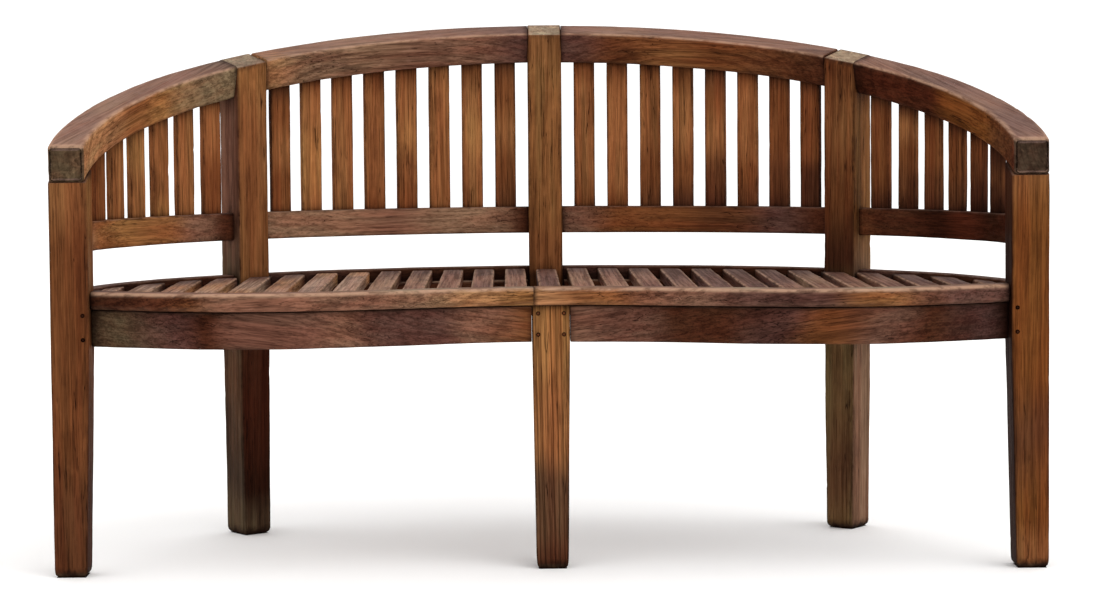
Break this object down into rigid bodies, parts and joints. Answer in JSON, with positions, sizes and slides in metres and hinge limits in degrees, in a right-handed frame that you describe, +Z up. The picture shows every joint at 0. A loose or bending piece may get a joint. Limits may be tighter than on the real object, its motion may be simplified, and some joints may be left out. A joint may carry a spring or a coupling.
{
  "type": "curved garden bench",
  "caption": "Curved wooden garden bench with a bowed, sloping top rail that runs down into the arms, slatted back and sides, and a wavy-fronted slatted seat.",
  "frame": {"origin": "on the ground, under the middle of the bench's outer box", "axes": "+Z up; +X to the right along the bench's length, for someone facing its front; +Y from the front of the seat to the back"},
  "size_m": [1.5, 0.6713, 0.8426],
  "materials": {
    "post_wood": "oiled teak, warm red-brown, worn satin",
    "rail_wood": "oiled teak, weathered mauve-brown on top, satin",
    "slat_wood": "oiled teak, dark red-brown, satin",
    "seat_wood": "weathered teak, greyish pink-brown, matte",
    "rim_wood": "oiled teak, golden pink-brown with worn edges, satin",
    "apron_wood": "oiled teak, dark purple-brown, satin",
    "leg_wood": "oiled teak, golden with dark grain, satin",
    "peg_wood": "dark hardwood end grain, matte"
  },
  "bodies": {
    "root": {"arm_rail_left": "rail_wood", "arm_rail_right": "rail_wood", "back_post_centre": "post_wood", "back_post_left": "post_wood", "back_post_right": "post_wood", "back_slat_left_1": "slat_wood", "back_slat_left_2": "slat_wood", "back_slat_left_3": "slat_wood", "back_slat_left_4": "slat_wood", "back_slat_left_5": "slat_wood", "back_slat_left_6": "slat_wood", "back_slat_left_7": "slat_wood", "back_slat_left_8": "slat_wood", "back_slat_right_1": "slat_wood", "back_slat_right_2": "slat_wood", "back_slat_right_3": "slat_wood", "back_slat_right_4": "slat_wood", "back_slat_right_5": "slat_wood", "back_slat_right_6": "slat_wood", "back_slat_right_7": "slat_wood", "back_slat_right_8": "slat_wood", "front_apron_left": "apron_wood", "front_apron_right": "apron_wood", "front_leg_centre": "leg_wood", "front_post_left": "post_wood", "front_post_right": "post_wood", "leg_peg_lower_left": "peg_wood", "leg_peg_lower_right": "peg_wood", "leg_peg_upper_left": "peg_wood", "leg_peg_upper_right": "peg_wood", "lower_rail_back_left": "slat_wood", "lower_rail_back_right": "slat_wood", "lower_rail_side_left": "slat_wood", "lower_rail_side_right": "slat_wood", "seat_rail_back_left": "apron_wood", "seat_rail_back_right": "apron_wood", "seat_rail_side_left": "apron_wood", "seat_rail_side_right": "apron_wood", "seat_rim_left": "rim_wood", "seat_rim_right": "rim_wood", "seat_slat_centre": "seat_wood", "seat_slats_left": "seat_wood", "seat_slats_right": "seat_wood", "seat_stretcher": "apron_wood", "side_slat_left_1": "slat_wood", "side_slat_left_2": "slat_wood", "side_slat_left_3": "slat_wood", "side_slat_left_4": "slat_wood", "side_slat_left_5": "slat_wood", "side_slat_left_6": "slat_wood", "side_slat_left_7": "slat_wood", "side_slat_right_1": "slat_wood", "side_slat_right_2": "slat_wood", "side_slat_right_3": "slat_wood", "side_slat_right_4": "slat_wood", "side_slat_right_5": "slat_wood", "side_slat_right_6": "slat_wood", "side_slat_right_7": "slat_wood", "top_rail_left": "rail_wood", "top_rail_right": "rail_wood"}
  },
  "joints": []
}
